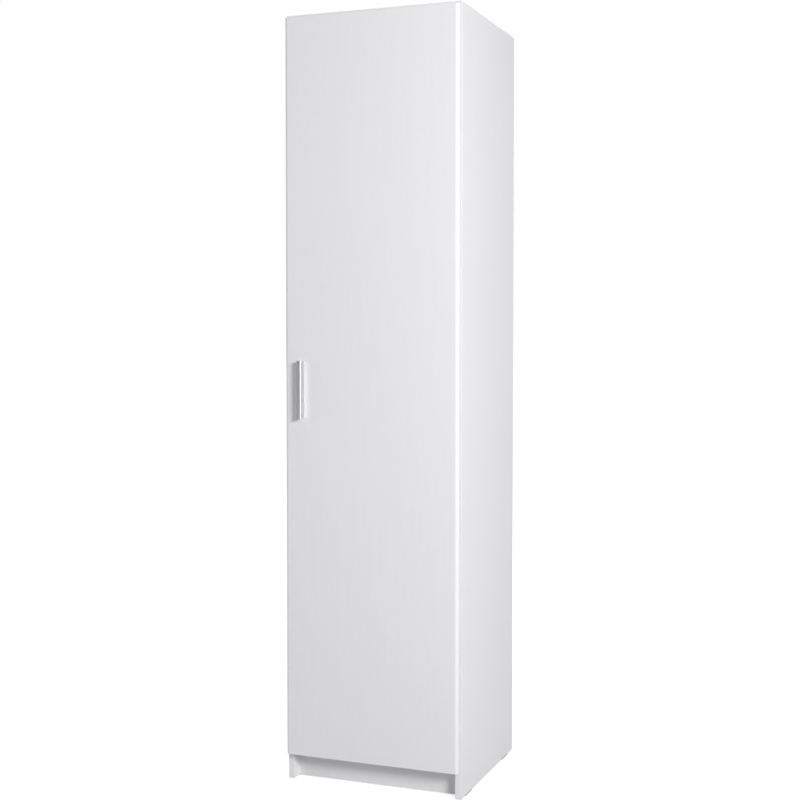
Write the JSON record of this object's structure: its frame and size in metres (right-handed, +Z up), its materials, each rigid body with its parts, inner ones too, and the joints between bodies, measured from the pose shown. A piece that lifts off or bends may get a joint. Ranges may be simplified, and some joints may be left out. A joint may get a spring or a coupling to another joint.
{
  "type": "broom cupboard",
  "caption": "Tall narrow white broom cupboard with a full-height hinged door, slim bar handle, upper shelf, recessed plinth and glides.",
  "frame": {"origin": "on the floor, at the middle of the overall width and of the overall depth with the handle", "axes": "+X to the right seen from the front, +Y to the back (the door faces -Y), +Z up"},
  "size_m": [0.45, 0.418, 1.85],
  "materials": {
    "melamine_white": "white melamine-faced chipboard, fine pearl texture",
    "door_white": "white melamine-faced chipboard door, fine vertical texture, rounded long edges",
    "hardboard_white": "thin hardboard, white lacquer inside, brown fibre outside",
    "beech_dowel": "fluted beech",
    "plastic_white": "moulded white",
    "plastic_dark_grey": "moulded dark grey",
    "soft_bumper": "clear soft bumper",
    "satin_aluminium": "satin silver",
    "nickel_plated_steel": "nickel plated pressed steel",
    "zinc_plated_steel": "zinc plated",
    "zinc_casting": "bare zinc die casting",
    "bright_steel": "bright steel"
  },
  "bodies": {
    "carcass": {"side_panel_left": "melamine_white", "side_panel_right": "melamine_white", "top_panel": "melamine_white", "bottom_panel": "melamine_white", "upper_shelf": "melamine_white", "plinth": "melamine_white", "back_panel_lower": "hardboard_white", "back_panel_upper": "hardboard_white", "back_joint_strip": "plastic_white", "back_nails": "bright_steel", "cam_locks": "zinc_casting", "cam_bolts": "zinc_plated_steel", "cam_caps": "plastic_white", "dowels": "beech_dowel", "glides": "plastic_dark_grey", "glide_nails": "bright_steel", "wall_bracket": "zinc_plated_steel", "wall_bracket_screws": "zinc_plated_steel", "door_bumpers": "soft_bumper", "hinge_plates": "nickel_plated_steel", "hinge_plate_screws": "zinc_plated_steel", "hinge_arms": "nickel_plated_steel", "hinge_arm_screws": "zinc_plated_steel", "hinge_arm_pins": "bright_steel"},
    "hinge_levers": {"hinge_outer_levers": "nickel_plated_steel", "hinge_inner_levers": "nickel_plated_steel"},
    "door": {"door_panel": "door_white", "hinge_cups": "nickel_plated_steel", "hinge_cup_pins": "bright_steel", "hinge_cup_screws": "zinc_plated_steel", "handle": "satin_aluminium", "handle_screws": "zinc_plated_steel"}
  },
  "joints": [
    {"name": "door_hinge", "type": "hinge", "parent": "carcass", "child": "door", "pos_m": [0.216, -0.191, 0], "axis": [0, 0, 1], "range_deg": [0, 105]},
    {"name": "hinge_lever_swing", "type": "hinge", "parent": "carcass", "child": "hinge_levers", "pos_m": [0.1983, -0.1712, 0], "axis": [0, 0, 1], "range_deg": [0, 54]}
  ],
  "couplings": [
    {"joint": "hinge_lever_swing", "follows": "door_hinge", "ratio": 0.505}
  ]
}
